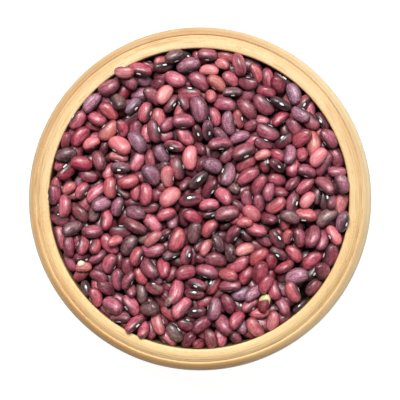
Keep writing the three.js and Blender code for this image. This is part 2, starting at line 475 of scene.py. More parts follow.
def grain_colour(recipe, figures, y):
    """Creamy sapwood at the back and yellower heartwood in front, under the grain's darker parts."""
    sapwood = (y + 50 * MM * figures["bands"]).fade(-30 * MM, 60 * MM)
    in_bands = figures["bands"].fade(0.3, 0.7)
    heart = blend(recipe, in_bands, paint("ffe2a8"), paint("f9d49a"))
    pale = blend(recipe, in_bands, paint("e8cfa2"), paint("e0c08f"))
    return layered(
        recipe,
        blend(recipe, sapwood, heart, pale),
        (figures["streaks"] * 0.28, "d9a970"),
        (figures["blotches"].fade(0.4, 0.75) * 0.2, "e3b580"),
        (figures["lines"] * 0.55, "a97b45"),
        (figures["pores"] * 0.7, "9a6a36"),
        (figures["specks"] * 0.3, "c08f58"),
    )


# %% [markdown]
# Handling and daylight change wood unevenly. The flat of the rim is a little browner on one side
# and warmer on another. The outside is browner all over and a little more behind, with painted
# shade lower down and in front and painted light at the right, and the inner wall below the lip is
# painted dark as painted shade. Each of these is one more layer, and what tells the outside from
# the inside is the number that the mesh keeps on its points.

# %% Wear, painted light and shade, and turned lines
TOOL_LINES_AND_SHADE_BAND = (  # radius, half its width, and how plain it is
    (RIM_OUTER_RADIUS - 2.2 * MM, 0.25 * MM, 0.2),
    (RIM_OUTER_RADIUS - 1.2 * MM, 0.3 * MM, 0.2),
    (RIM_OUTER_RADIUS, 0.5 * MM, 0.2),
    # not a tool line: a broad band of painted shade where the shoulder starts to turn down
    (RIM_OUTER_RADIUS + 1.4 * MM, 1.2 * MM, 0.32),
)


def wear_light_and_shade(x, y, z, outside):
    """Layers: three of wear on the flat of the rim, then two on the outside, a darker brown that is
    partly painted shade and a paler one that is painted light.
    """
    flat = 1 - outside
    browned = (x - 0.3 * y).fade(10 * MM, 70 * MM)
    warmed = (-0.6 * x - y).fade(30 * MM, 80 * MM)
    rubbed = (0 - y).fade(35 * MM, 72 * MM)
    # painted shade: the outside is darker further down, where it turns away from the overhead lamp
    low = z.fade(BOWL_HEIGHT - 1 * MM, BOWL_HEIGHT - 8 * MM)
    # painted light: the outside is paler at the right, towards the window lamp
    lit_right = (x + 0.1 * y).fade(5 * MM, 70 * MM)
    # painted shade: the outside is darker in front, away from the overhead lamp behind the bowl
    shaded_front = (0 - y - 0.3 * x).fade(34 * MM, 76 * MM)
    behind = y.fade(10 * MM, 60 * MM)
    # the outside's darker brown: an even tint, a little more behind, with painted shade lower down and
    # in front, and less where the right is painted lighter
    tint_and_painted_shade = 0.27 + 0.2 * low - 0.26 * lit_right + 0.45 * shaded_front + 0.17 * behind
    return [
        (browned * flat * 0.32, "cca46e"),
        (warmed * flat * 0.22, "f4b474"),
        (rubbed * flat * 0.4, "ffe2ae"),
        # the outside's darker brown, partly painted shade
        (outside * tint_and_painted_shade, "a98454"),
        # painted light at the right of the outside
        (outside * lit_right * 0.6, "dccda6"),
    ]


def tool_lines_and_shade_band(radius, z, blotches):
    """A layer for each line that the tool left on the rim and for a broad band of painted shade beside
    it, each fainter here and there.
    """
    on_top = z.fade(BOWL_HEIGHT - 9 * MM, BOWL_HEIGHT - 7 * MM)
    uneven = (0.4 + 1.2 * blotches) * on_top
    layers = []
    for line_radius, half_width, share in TOOL_LINES_AND_SHADE_BAND:
        off_line = (radius - line_radius) / half_width
        layers.append(((off_line * off_line).fade(1.0, 0.1) * uneven * share, "b4733a"))
    return layers


def shaded_inner_wall(radius, z, outside):
    """Painted shade: one dark layer on the inner wall below the lip, where the gaps between the beans
    and the wall lie in shade.
    """
    past_lip = radius.fade(MOUTH_RADIUS + LIP_ROUNDING, MOUTH_RADIUS + 0.1 * MM)
    below_lip = z.fade(BOWL_HEIGHT - 0.2 * MM, BOWL_HEIGHT - 2.5 * MM)
    return past_lip * (1 - outside) * below_lip * 0.8, "4a2418"


# %% Wood finish
def wood_finish():
    """Grain, under wear with painted light and shade, tool lines with a band of painted shade, and the
    inner wall's painted shade; pores and lines are sunk and streaks raised.
    """
    even = {"Specular_IOR_Level": 0.35, "Coat_Roughness": 0.35, "Coat_IOR": 1.4}
    material, recipe, shader = new_finish("pale_wood", **even)
    x, y, z = numbers_of(recipe, object_place(recipe))
    radius = (x * x + y * y) ** 0.5
    outside = Amount(recipe, kept_on_points(recipe, "outside"))
    figures = grain_figures(recipe)
    streaks, blotches = figures["streaks"], figures["blotches"]
    colour = layered(
        recipe,
        grain_colour(recipe, figures, y),
        *wear_light_and_shade(x, y, z, outside),
        *tool_lines_and_shade_band(radius, z, blotches),
        # painted shade on the inner wall below the lip
        shaded_inner_wall(radius, z, outside),
    )
    recipe.plug(shader.inputs["Base Color"], colour)
    recipe.plug(shader.inputs["Roughness"], 0.5 + 0.12 * streaks - 0.06 * blotches)
    sunk = figures["pores"] + figures["lines"]
    height = streaks * 0.5 + sunk * -0.8 + figures["bands"] * 0.3
    emboss(recipe, shader, height, strength=0.35, depth=0.15 * MM)
    return material


wood = wood_finish()
bowl.data.materials.append(wood)
print("the wood's finish has", len(wood.node_tree.nodes), "nodes")

# %% [markdown]
# ## One bean
# A dried kidney bean is an oval, flatter than it is wide, that bends round its eye: the ends curl
# towards the belly. One bean could be sculpted, but hundreds are needed, so a few lines of code
# make six forms of a few dozen faces, and two broken ones. One level of subdivision rounds them in
# the end. Subdividing draws a cage inwards, more across than along, so what is seen is swelled by
# the same shares, while the tumbling beans keep their true size. Each point also keeps its own
# place on its bean, and the finish reads it to find the eye.

# %% Bean forms
BEAN_SIDES = 8
BEAN_RINGS = 7  # steps from one pole to the other
BLUNTNESS = 0.82  # of the ends: less is blunter, and 1 is an ellipse
SWELL = (1.035, 1.12, 1.12)  # makes up for what subdividing takes off

# length, width from belly to back, and thickness in mm, bend in mm, share of dents; the letters
# keep the forms in this order when they are picked by number
BEAN_FORMS = {
    "bean_a_middling": (10.5, 6.6, 5.0, 0.5, 0.02),
    "bean_b_plump": (9.9, 6.8, 5.5, 0.4, 0.02),
    "bean_c_slender": (11.2, 6.2, 4.9, 0.65, 0.02),
    "bean_d_flat": (10.6, 6.9, 4.6, 0.45, 0.03),
    "bean_e_small": (9.0, 5.9, 4.8, 0.4, 0.02),
    "bean_f_wrinkled": (9.9, 6.5, 4.9, 0.6, 0.08),
    "bean_g_split_half": (8.4, 5.4, 2.8, 0.4, 0.1),
    "bean_h_chip": (3.4, 2.9, 2.2, 0.1, 0.2),
}
FORM_SHARES = (32, 20, 18, 12, 12, 6, 0, 0)


def bean_mesh(name, length, width, thickness, bend, dents):
    """A bean with its length along X and its belly towards -Y, lying on its flat side."""
    draw = random.Random(name)
    spots = [(-1.0, 0.0, 0.0), (1.0, 0.0, 0.0)]
    for ring in range(1, BEAN_RINGS):
        along = math.pi * ring / BEAN_RINGS
        girth = math.sin(along) ** BLUNTNESS
        for side in range(BEAN_SIDES):
            around = 2 * math.pi * side / BEAN_SIDES
            reach = girth * (1 + dents * draw.uniform(-1, 1))
            spots.append((-math.cos(along), reach * math.cos(around), reach * math.sin(around)))
    points = [
        Vector((x * length / 2, y * width / 2 - bend * x * x + bend / 3, z * thickness / 2)) * MM
        for x, y, z in spots
    ]
    mesh = bpy.data.meshes.new(name)
    mesh.from_pydata(points, [], closed_skin(BEAN_RINGS - 1, BEAN_SIDES))
    kept = mesh.attributes.new("spot", "FLOAT_VECTOR", "POINT")
    kept.data.foreach_set("vector", np.array(spots, dtype=np.float32).ravel())
    return mesh


bean_meshes = [bean_mesh(name, *sizes) for name, sizes in BEAN_FORMS.items()]
bean_lengths = [sizes[0] * MM for sizes in BEAN_FORMS.values()]
print("a bean's form has", len(bean_meshes[0].polygons), "faces")

# %% [markdown]
# ## Tumbling
# Beans that are placed by a rule look placed. Real ones fell, so these fall too: they start in
# loose layers above the bowl and drop on a dome under the heap's surface. Round them stand the
# bowl's wall and, on its lip, a tall collar that keeps them from rolling over the rim. The solver
# prefers things of about a metre, so the simulated world is a hundred times as large. Only where
# each bean ends is kept.

# %% Where the heap's surface is
HEAP_CROWN = 5.2 * MM
HEAP_EDGE_BELOW_RIM = 0.2 * MM


def heap_height(radius):
    """Height of the smooth surface that the tops of the beans reach."""
    share = radius / MOUTH_RADIUS
    return BOWL_HEIGHT - HEAP_EDGE_BELOW_RIM + HEAP_CROWN * (1 - share * share)


print("the heap's crown is", round(heap_height(0) / MM, 1), "mm high")

# %% Fill the bowl with loose layers
BEAN_COUNT = 512
BEANS_IN_A_LAYER = 104
FIRST_LAYER = 8 * MM  # above the dome
LAYER_HEIGHT = 11.5 * MM
LAYER_TWIST = 1.3  # from one layer to the next
WALL_CLEARANCE = 6.5 * MM
GOLDEN_TURN = math.pi * (3 - math.sqrt(5))
MEAN_SIZE = 0.96
SIZE_SPREAD = 0.13
LOOSE_TURNS = (math.pi, 0.6, math.pi)  # how far each angle may be off, either way
DOME_DEPTH = 12.5 * MM  # the dome lies this deep under the tops of the beans
LAYER_SEED = 11


class Bean:
    """One bean: the number of its form, its size, and where and how it lies. Its kind comes later,
    and so does the level on which it waits, if it is laid one by one."""

    def __init__(self, form, size, place, turn):
        self.form = form
        self.size = size
        self.place = place
        self.turn = turn
        self.kind = None
        self.level = None


def loose_layers():
    """Beans on sunflower patterns, one above another, each turned its own way."""
    draw = random.Random(LAYER_SEED)
    beans = []
    for number in range(BEAN_COUNT):
        layer, i = divmod(number, BEANS_IN_A_LAYER)
        radius = (MOUTH_RADIUS - WALL_CLEARANCE) * math.sqrt((i + 0.5) / BEANS_IN_A_LAYER)
        across = i * GOLDEN_TURN + layer * LAYER_TWIST
        height = heap_height(radius) - DOME_DEPTH + FIRST_LAYER + layer * LAYER_HEIGHT
        place = Vector((radius * math.cos(across), radius * math.sin(across), height))
        form = draw.choices(range(len(bean_meshes)), weights=FORM_SHARES)[0]
        size = round(MEAN_SIZE + SIZE_SPREAD * draw.uniform(-1, 1), 4)
        turn = Euler([round(draw.uniform(-a, a), 4) for a in LOOSE_TURNS])
        beans.append(Bean(form, size, place, turn.to_quaternion()))
    return beans


beans = loose_layers()
print(len(beans), "beans wait in", 1 + (BEAN_COUNT - 1) // BEANS_IN_A_LAYER, "layers")

# %% The simulated world
SIM_SCALE = 100.0
SIM_MARGIN = 0.005  # in the large world's metres
SUBSTEPS = 8
SOLVER_ROUNDS = 12
WALL_SIDES = 64
WALL_FRICTION = 0.5
DOME_RINGS = 13
DOME_EDGE_LIFT = 3.6 * MM  # the dome is higher at the wall, where beans can't nest
EDGE_POWER = 6  # a greater power keeps what happens at the wall closer to it
COLLAR_DEPTH = 20 * MM
COLLAR_HEIGHT = 140 * MM


def sim_body(world, thing, kind, shape, **manner):
    """Gives a thing weight in the simulated world, or makes it a fixed obstacle."""
    world.collection.objects.link(thing)
    body = thing.rigid_body
    body.type = kind
    body.collision_shape = shape
    body.restitution = 0.0
    body.use_margin = True
    body.collision_margin = SIM_MARGIN
    for name, value in manner.items():
        setattr(body, name, value)


def sim_wall(world, name, outline):
    """A fixed obstacle spun from an open outline in metres."""
    points = [Vector(point) * SIM_SCALE for point in spun(outline, WALL_SIDES)]
    faces = []
    for low in range(0, (len(outline) - 1) * WALL_SIDES, WALL_SIDES):
        high = low + WALL_SIDES
        for i in range(WALL_SIDES):
            j = (i + 1) % WALL_SIDES
            faces.append((low + i, low + j, high + j, high + i))
    mesh = bpy.data.meshes.new(name)
    mesh.from_pydata(points, [], faces)
    wall = bpy.data.objects.new(name, mesh)
    bpy.context.scene.collection.objects.link(wall)
    sim_body(world, wall, "PASSIVE", "MESH", friction=WALL_FRICTION)
    return wall


def dome_outline():
    """What the beans land on, from just beside the axis nearly to the wall."""
    outline = []
    for radius in np.linspace(0.01 * MM, MOUTH_RADIUS - 0.3 * MM, DOME_RINGS):
        lift = DOME_EDGE_LIFT * (radius / MOUTH_RADIUS) ** EDGE_POWER
        outline.append((radius, heap_height(radius) - DOME_DEPTH + lift))
    return outline


def collar_outline():
    """The bowl's wall and lip, and a tall collar on the lip."""
    return [
        (MOUTH_RADIUS, BOWL_HEIGHT - COLLAR_DEPTH),
        (MOUTH_RADIUS, BOWL_HEIGHT - LIP_ROUNDING),
        (MOUTH_RADIUS + LIP_ROUNDING, BOWL_HEIGHT),
        (MOUTH_RADIUS + 1.2 * MM, BOWL_HEIGHT + 0.1 * MM),
        (MOUTH_RADIUS + 1.5 * MM, BOWL_HEIGHT + COLLAR_HEIGHT),
    ]


# %% Let beans fall
FREELY = {"friction": 0.35, "linear_damping": 0.1, "angular_damping": 0.2}
CALMLY = {"friction": 0.4, "linear_damping": 0.9, "angular_damping": 0.998}


def large_beans(world, beans, manner):
    """A large copy of each bean, which falls in a manner: freely, or calmly without rolling."""
    large_meshes = [mesh.copy() for mesh in bean_meshes]
    for mesh in large_meshes:
        mesh.transform(Matrix.Scale(SIM_SCALE, 4))
    falling = []
    for number, bean in enumerate(beans):
        thing = bpy.data.objects.new(f"falling_{number}", large_meshes[bean.form])
        thing.scale = (bean.size, bean.size, bean.size)
        thing.location = bean.place * SIM_SCALE
        thing.rotation_mode = "QUATERNION"
        thing.rotation_quaternion = bean.turn
        bpy.context.scene.collection.objects.link(thing)
        sim_body(world, thing, "ACTIVE", "CONVEX_HULL", **manner)
        falling.append(thing)
    return falling


def tumble(beans, frames, manner):
    """Lets beans fall for a number of frames and notes where they end."""
    scene = bpy.context.scene
    bpy.ops.rigidbody.world_add()
    world = scene.rigidbody_world
    world.collection = bpy.data.collections.new("tumbling")
    world.substeps_per_frame = SUBSTEPS
    world.solver_iterations = SOLVER_ROUNDS
    world.point_cache.frame_end = frames
    outlines = {"dome": dome_outline(), "collar": collar_outline()}
    walls = [sim_wall(world, name, outline) for name, outline in outlines.items()]
    falling = large_beans(world, beans, manner)

    for number in range(1, frames + 1):
        scene.frame_set(number)
    depsgraph = bpy.context.evaluated_depsgraph_get()
    for bean, thing in zip(beans, falling):
        place, turn, _ = thing.evaluated_get(depsgraph).matrix_world.decompose()
        bean.place, bean.turn = place / SIM_SCALE, turn

    scene.frame_set(1)
    bpy.ops.rigidbody.world_remove()
    for thing in falling + walls:
        bpy.data.objects.remove(thing)


# %% Drop the loose layers
FALLING_FRAMES = 95
RING_EDGES = (0, 20, 40, 55, 66)  # millimetres


def report_heap(beans):
    """Prints how high the upper beans lie, ring by ring."""
    for inner, outer in zip(RING_EDGES, RING_EDGES[1:]):
        heights = [b.place.z / MM for b in beans if inner <= b.place.xy.length / MM < outer]
        print(f"{inner} to {outer} mm out, the upper beans lie {np.percentile(heights, 85):.1f} mm high")
    heights = [b.place.z / MM for b in beans]
    print(f"all lie between {min(heights):.1f} and {max(heights):.1f} mm")


tumble(beans, FALLING_FRAMES, FREELY)
report_heap(beans)

# %% [markdown]
# ## Beans laid one by one
# Most of the beans are maroon or crimson, some are salmon pink, some a dusty mauve, and a few so
# stained that they look black. The ones that catch the eye on top are laid one by one, as a food
# stylist would: the uppermost bean near each chosen place is lifted, turned as wished and let down
# again. Then everything settles once more, so that these lie as naturally as their neighbours.

# %% The chosen places
# each (x, y, length) in millimetres, then the direction that its length points in, with the belly
# to the right of it, and how far the belly is turned up towards the sky, both in degrees
LAID_BY_HAND = {
    "maroon_beans": [
        (-18, 30, 10.5, 135, 20), (-12, 38, 9.5, 20, 10), (-42, 16, 9.5, -60, 10), (-4, 38, 8, -40, 50),
        (4, 62, 9, 0, 40), (24, 36, 11, -50, 10), (22, 50, 9, 170, 30), (26, 30, 8, -170, 40),
        (38, 27, 9, -160, 35), (26, 25, 9.5, 160, 40), (60, 16, 11.5, 50, 10), (8, 24, 11, 15, 40),
        (20, 20, 11, 20, 30), (12, -8, 11, 0, 10), (7, -25, 10, -5, 5), (16, -15, 10, 60, 35),
        (6, 5, 10, 80, 75), (-6, 6, 7.5, 55, 30), (26, 2, 8.5, 75, 40), (-48, 10, 9, -170, 30),
        (-60, -8, 9, 170, 30), (-34, -34, 10, 65, 10), (-29, -35, 9, 85, 50), (-32, -52, 10, -15, 10),
        (1, -34, 9, 150, 30), (0, -49, 9, 160, 80), (-22, -30, 11, 130, 35), (14, -44, 9.5, -45, 5),
        (18, -36, 10, -15, 50), (52, -29, 10.5, -50, 5), (36, -46, 9.5, -60, 10), (56, 6, 11, -55, 5),
        (46, 12, 9, -5, 45), (32, -18, 9.5, 115, 75),
    ],
    "mauve_beans": [
        (-24, 26, 11, -60, 30), (-47, 42, 10.5, 65, 5), (-16, 20, 9, 130, 25), (2, 40, 12, -45, 5),
        (42, 44, 10, -60, 5), (12, 33, 11, 85, 5), (4, 30, 10, 60, 10), (18, 27, 9.5, 25, 5),
        (44, 36, 9.5, 130, 25), (40, 18, 10.5, -85, 5), (6, 17, 10.5, 0, 5), (-20, 12, 11, -65, 5),
        (12, 10, 11, -115, 30), (-24, -5, 10, 40, 10), (-12, -12, 9, -70, 5), (-42, 0, 9.5, 0, 5),
        (-34, -3, 9, 75, 5), (-32, 12, 9, 20, 10), (42, -34, 11, 25, 5), (8, -50, 10.5, -115, 30),
        (21, -58, 9.5, -40, 10), (22, -41, 10.5, 5, 5), (62, 6, 9, -60, 5),
    ],
    "crimson_beans": [
        (-40, 39, 10, -65, 5), (-56, 29, 10.5, 75, 5), (-50, 16, 10, -10, 5), (-36, 30, 8.5, -35, 10),
        (34, 52, 10, -30, 5), (31, 48, 9, -25, 5), (14, 52, 8.5, -50, 5), (37, 34, 9, 40, 5),
        (46, 26, 10.5, 35, 5), (46, 18, 9, -80, 10), (12, 0, 10.5, -50, 10), (-8, -18, 11, -80, 20),
        (5, -14, 9, 40, 10), (-4, -4, 9.5, -15, 5), (6, -4, 9, -5, 10), (-14, -6, 9, 15, 5),
        (-55, -2, 10.5, -50, 5), (-40, -10, 10.5, -65, 5), (-53, -20, 9, -120, 15),
        (-29, 6, 10, -175, 30), (-38, -28, 10, 70, 5), (-26, -25, 9, 75, 10), (-8, -32, 10, 0, 5),
        (0, -38, 9, 170, 60), (-20, -43, 9, 155, 50), (-2, -61, 8.5, -50, 5), (24, -30, 11.5, 85, 5),
        (32, -26, 8.5, -80, 5), (32, -40, 10, 80, 5), (28, -36, 9, 60, 10), (24, -46, 8.5, 60, 10),
        (15, -52, 9.5, 50, 20), (46, -42, 10, 120, 15), (33, 9, 9, -40, 5), (36, -2, 10, -165, 30),
        (34, -11, 9, -60, 5),
    ],
    "coral_beans": [
        (-19, 60, 8, 20, 5), (-31, 53, 9, 170, 50), (-34, 17, 9, -25, 35), (27, 20, 7.5, 35, 5),
        (-20, -14, 9.5, 45, 5), (-1, -22, 9, 50, 35), (20, -10, 7.5, -15, 5), (12, 58, 7.5, -35, 5),
        (8, 50, 10, -5, 5), (7, 44, 8, -70, 10), (18, 34, 8.5, 55, 5), (-58, 5, 7.5, 30, 10),
        (-37, -18, 7.5, 20, 10), (-50, -32, 7.5, 15, 5), (14, -30, 9.5, -5, 5), (32, -51, 9, -80, 10),
        (24, -54, 10, 135, 10), (40, -14, 7.5, 110, 10),
    ],
    "dark_beans": [
        (-16, 56, 9.5, 40, 80), (-10, 60, 9, 25, 20), (-33, 40, 10, -45, 70), (-58, 20, 10, 0, 50),
        (36, 42, 10.5, 155, 85), (14, 46, 9, 30, 10), (0, 8, 10.5, 75, 90), (-2, -14, 10.5, 80, 5),
        (16, 4, 7.5, -45, 10), (-14, 17, 7.5, 40, 10), (-14, -24, 9, 165, 75), (-54, -12, 10, 35, 5),
        (-30, -20, 10, 60, 10), (-50, -39, 8, 125, 85), (-10, -58, 9.5, 150, 45),
        (42, -48, 7.5, -150, 60), (40, -7, 9, -5, 5), (51, 1, 7.5, 70, 20),
    ],
    "salmon_beans": [
        (-32, 23, 11.5, -55, 20), (-14, 45, 10, 50, 5), (-46, 26, 8, 30, 5), (-4, 16, 11, 80, 5),
        (-12, 11, 10.5, 55, 5), (-13, 0, 11.5, 0, 5), (22, -4, 10, -5, 5), (18, -22, 9, 20, 5),
        (7, 56, 9, 15, 5), (0, 58, 7.5, 0, 10), (52, 16, 9.5, 50, 5), (44, 0, 8.5, 60, 10),
        (58, -15, 9.5, -95, 20),
    ],
}
print({name: len(rows) for name, rows in LAID_BY_HAND.items()}, "laid by hand")

# %% Lay them and let everything settle
SIDEWAYS_COST = 1.2  # how much height a bean must have for each millimetre that it is off
WAITING_HEIGHT = 2.5 * MM  # above the heap's surface
WAITING_GAP = 9 * MM
WAITING_STEP = 6.5 * MM
SETTLING_FRAMES = 75


def uppermost_near(beans, x, y, taken):
    """The bean that shows at a place: high up, and not far from it."""
    def merit(bean):
        return bean.place.z - SIDEWAYS_COST * math.hypot(bean.place.x - x, bean.place.y - y)

    return max((bean for bean in beans if bean not in taken), key=merit)


def free_level(x, y, laid):
    """The lowest level on which a bean can wait above a place and touch no other."""
    near = {
        other.level
        for other in laid
        if math.hypot(other.place.x - x, other.place.y - y) < WAITING_GAP
    }
    return min(level for level in range(len(near) + 1) if level not in near)


def lay_by_hand(beans):
    """Holds the chosen beans above their places, some higher than others so that none touch."""
    laid = []
    for kind, rows in LAID_BY_HAND.items():
        for x, y, length, direction, belly_up in rows:
            bean = uppermost_near(beans, x * MM, y * MM, laid)
            bean.kind = kind
            bean.level = free_level(x * MM, y * MM, laid)
            bean.size = round(length * MM / bean_lengths[bean.form], 4)
            surface = heap_height(math.hypot(x, y) * MM)
            height = surface + WAITING_HEIGHT + bean.level * WAITING_STEP
            bean.place = Vector((x * MM, y * MM, height))
            turn = Euler((math.radians(-belly_up), 0, math.radians(direction)))
            bean.turn = turn.to_quaternion()
            laid.append(bean)
    return laid


laid = lay_by_hand(beans)
print(len(laid), "beans wait on", 1 + max(bean.level for bean in laid), "levels")
tumble(beans, SETTLING_FRAMES, CALMLY)
report_heap(beans)

# %% [markdown]
# The dome stands in for the beans deep in the bowl, and beans can't nest in its stiff edge, so
# those along the wall end a little low and short of it. Each bean is therefore eased up and
# outwards by a share that grows quickly towards the wall. Then those that weren't laid one by one
# draw a kind. Behind the middle more of them are crimson and mauve, and in front more maroon.

# %% Ease the outermost beans against the wall
EASE_UP = 2.4 * MM  # at the wall, and less and less further in
EASE_OUT = 0.6 * MM

for bean in beans:
    share = (bean.place.xy.length / MOUTH_RADIUS) ** EDGE_POWER
    outwards = bean.place.xy.normalized() * EASE_OUT
    bean.place += share * Vector((outwards.x, outwards.y, EASE_UP))
print("after easing, the highest bean lies", round(max(b.place.z for b in beans) / MM, 1), "mm high")

# %% Draw a kind for the others
KIND_SHARES = {  # behind the bowl's middle, and in front of it
    "maroon_beans": (40, 54),
    "crimson_beans": (42, 33),
    "mauve_beans": (9, 4),
    "coral_beans": (5, 2),
    "dark_beans": (4, 7),
}
KIND_SEED = 5

kind_draw = random.Random(KIND_SEED)
for bean in beans:
    if bean.kind is None:
        side = 0 if bean.place.y > 0 else 1
        shares = [pair[side] for pair in KIND_SHARES.values()]
        bean.kind = kind_draw.choices(list(KIND_SHARES), weights=shares)[0]
kinds = {name: [bean for bean in beans if bean.kind == name] for name in LAID_BY_HAND}
print({name: len(members) for name, members in kinds.items()})

# %% [markdown]
# ## Scattering with Geometry Nodes
# Each kind becomes one piece. Copying and joining hundreds of objects would do, but is slow, and
# nodes do it at once. The beans are first only points that carry a turn, a size and the number of
# a form. A Geometry Nodes tree puts the form on each point, draws every bean its own tone, and
# makes one real mesh of them all, which a subdivision then rounds.

# %% The scattering tree
form_collection = bpy.data.collections.new("bean_forms")
for mesh in bean_meshes:
    form_collection.objects.link(bpy.data.objects.new(mesh.name, mesh))

TREE_INPUTS = {
    "Geometry": "NodeSocketGeometry",
    "Forms": "NodeSocketCollection",
    "Swell": "NodeSocketVector",
    "Coat": "NodeSocketMaterial",
    "Seed": "NodeSocketInt",
}


def scatter_tree():
    """Points in, and one real mesh of toned and coated beans out."""
    tree = bpy.data.node_groups.new("scatter_beans", "GeometryNodeTree")
    for name, kind in TREE_INPUTS.items():
        tree.interface.new_socket(name, in_out="INPUT", socket_type=kind)
    tree.interface.new_socket("Geometry", in_out="OUTPUT", socket_type="NodeSocketGeometry")
    recipe = Recipe(tree)
    given = recipe.node("NodeGroupInput").outputs

    def kept(name, kind):
        """What each point keeps under a name."""
        settings = {"data_type": kind}
        return recipe.node("GeometryNodeInputNamedAttribute", settings, {"Name": name}).outputs[0]

    forms = recipe.node(
        "GeometryNodeCollectionInfo",
        None,
        {"Collection": given["Forms"], "Separate Children": True, "Reset Children": True},
    )
    size = recipe.node(
        "ShaderNodeVectorMath",
        {"operation": "SCALE"},
        {0: given["Swell"], "Scale": kept("size", "FLOAT")},
    )
    placed = recipe.node(
        "GeometryNodeInstanceOnPoints",
        None,
        {
            "Points": given["Geometry"],
            "Instance": forms.outputs[0],
            "Pick Instance": True,
            "Instance Index": kept("form", "INT"),
            "Rotation": kept("turn", "QUATERNION"),
            "Scale": size.outputs[0],
        },
    )
    drawn = recipe.node("FunctionNodeRandomValue", {"data_type": "FLOAT"}, {"Seed": given["Seed"]})
    tone = drawn.outputs[1]  # the first is a vector
    toned = recipe.node(
        "GeometryNodeStoreNamedAttribute",
        {"data_type": "FLOAT", "domain": "INSTANCE"},
        {"Geometry": placed.outputs[0], "Name": "tone", "Value": tone},
    )
    real = recipe.node("GeometryNodeRealizeInstances", None, {"Geometry": toned.outputs[0]})
    sockets = {"Geometry": real.outputs[0], "Material": given["Coat"]}
    coated = recipe.node("GeometryNodeSetMaterial", None, sockets)
    recipe.node("NodeGroupOutput", None, {0: coated.outputs[0]})
    return tree


scatter = scatter_tree()
print("the scattering tree has", len(scatter.nodes), "nodes")


# %% Make a piece of a kind's beans
def points_of(name, members):
    """A mesh of bare points, one where each bean lies, with what the tree needs to know."""
    mesh = bpy.data.meshes.new(name)
    mesh.from_pydata([bean.place for bean in members], [], [])
    for what, kind in (("form", "INT"), ("size", "FLOAT"), ("turn", "QUATERNION")):
        values = np.ravel([getattr(bean, what) for bean in members])
        mesh.attributes.new(what, kind, "POINT").data.foreach_set("value", values)
    return mesh


def scattered_mesh(name, members, coat, seed):
    """The tree's result for some beans, as a plain mesh."""
    carrier = bpy.data.objects.new(f"{name}_points", points_of(name, members))
    bpy.context.scene.collection.objects.link(carrier)
    modifier = carrier.modifiers.new("scatter", "NODES")
    modifier.node_group = scatter
    values = {"Forms": form_collection, "Swell": SWELL, "Coat": coat, "Seed": seed}
    for item in scatter.interface.items_tree:
        if item.in_out == "INPUT" and item.name in values:
            modifier[item.identifier] = values[item.name]
    depsgraph = bpy.context.evaluated_depsgraph_get()
    mesh = bpy.data.meshes.new_from_object(
        carrier.evaluated_get(depsgraph), preserve_all_data_layers=True, depsgraph=depsgraph
    )
    bpy.data.objects.remove(carrier)
    return mesh


def scattered_piece(name, members, coat, seed):
    """A finished piece of scattered beans; rounding makes a quad of every corner of a face."""
    mesh = scattered_mesh(name, members, coat, seed)
    mesh.name = name
    mesh.shade_smooth()
    piece = new_piece(name, mesh)
    rounder = piece.modifiers.new("rounding", "SUBSURF")
    rounder.levels = rounder.render_levels = 1
    print(name, "has", len(members), "beans and", 2 * len(mesh.loops), "triangles when rounded")
    return piece


# %% [markdown]
# ## Bean coats
# A seed coat is thin, waxy and a little dusty. Its colour wanders from bean to bean and over each
# bean, and a few beans lean to an odd colour. On the belly sits the eye, an oval white scar with a
# black line round it, in a patch where the coat is stained nearly black. Both could be modelled,
# with far more faces, so they are painted instead: they are found from each point's own place on
# its bean, at the middle of its length on the -Y side. What lies deep under the heap's surface is
# painted darker, because little light finds its way there.

# %% The coat's texture
MOTTLE = 330.0  # bumps to the metre
SPECKLE = 1300.0
NET = 1250.0
WRINKLE_STRETCH = (1.1, 4.0, 4.0)  # along the bean, and across it
WRINKLE_SHIFT = 40  # from bean to bean


def coat_texture(recipe, place, spot, tone):
    """Mottle, speckle, wrinkles that run along the bean, and a net of fine cracks, all 0 to 1."""
    mottle = noise(recipe, place, MOTTLE, 4.0, 0.65)
    speckle = noise(recipe, place, SPECKLE, 3.0, 0.6)
    stretch = {0: spot, 1: WRINKLE_STRETCH, 2: tone * WRINKLE_SHIFT}
    stretched = recipe.node("ShaderNodeVectorMath", {"operation": "MULTIPLY_ADD"}, stretch)
    wrinkles = noise(recipe, stretched.outputs[0], 1.0, 2.0, 0.55, 0.6)
    cells = {"Vector": place, "Scale": NET}
    cracks = recipe.amount("ShaderNodeTexVoronoi", {"feature": "DISTANCE_TO_EDGE"}, cells)
    return mottle, speckle, wrinkles, cracks.fade(0.16, 0.02)


# %% The eye, its patch and the shade between beans
EYE = (0.2, 0.17)  # half its length and width, as shares of half the bean's
PATCH = (0.85, 0.95)
SHADE_FROM = 3.5 * MM  # below the heap's surface
SHADE_TO = 9 * MM


def from_oval(along, up, half_length, half_width):
    """How far out a point is from the middle of an oval on the belly; 1 is on its edge."""
    return ((along / half_length) ** 2 + (up / half_width) ** 2) ** 0.5


def belly_marks(along, belly, up, mottle, stain):
    """Shares of the stained patch, the black line and the white eye; the back counts as far off."""
    from_patch = from_oval(along, up, *PATCH) + belly.fade(-0.5, 0.15) * 1.2
    patch = (from_patch + mottle * 0.6).fade(1.55, 0.65) * stain
    from_eye = from_oval(along, up, *EYE) + belly.fade(-0.5, 0.0) * 9
    return patch, from_eye.fade(1.9, 1.4), from_eye.fade(1.12, 0.9)


def depth_shade(recipe, place):
    """0 for what lies near the heap's surface, and up to 1 for what lies deep under it."""
    x, y, z = numbers_of(recipe, place)
    surface = heap_height(0) - (x * x + y * y) * (HEAP_CROWN / MOUTH_RADIUS ** 2)
    return (surface - z).fade(SHADE_FROM, SHADE_TO)


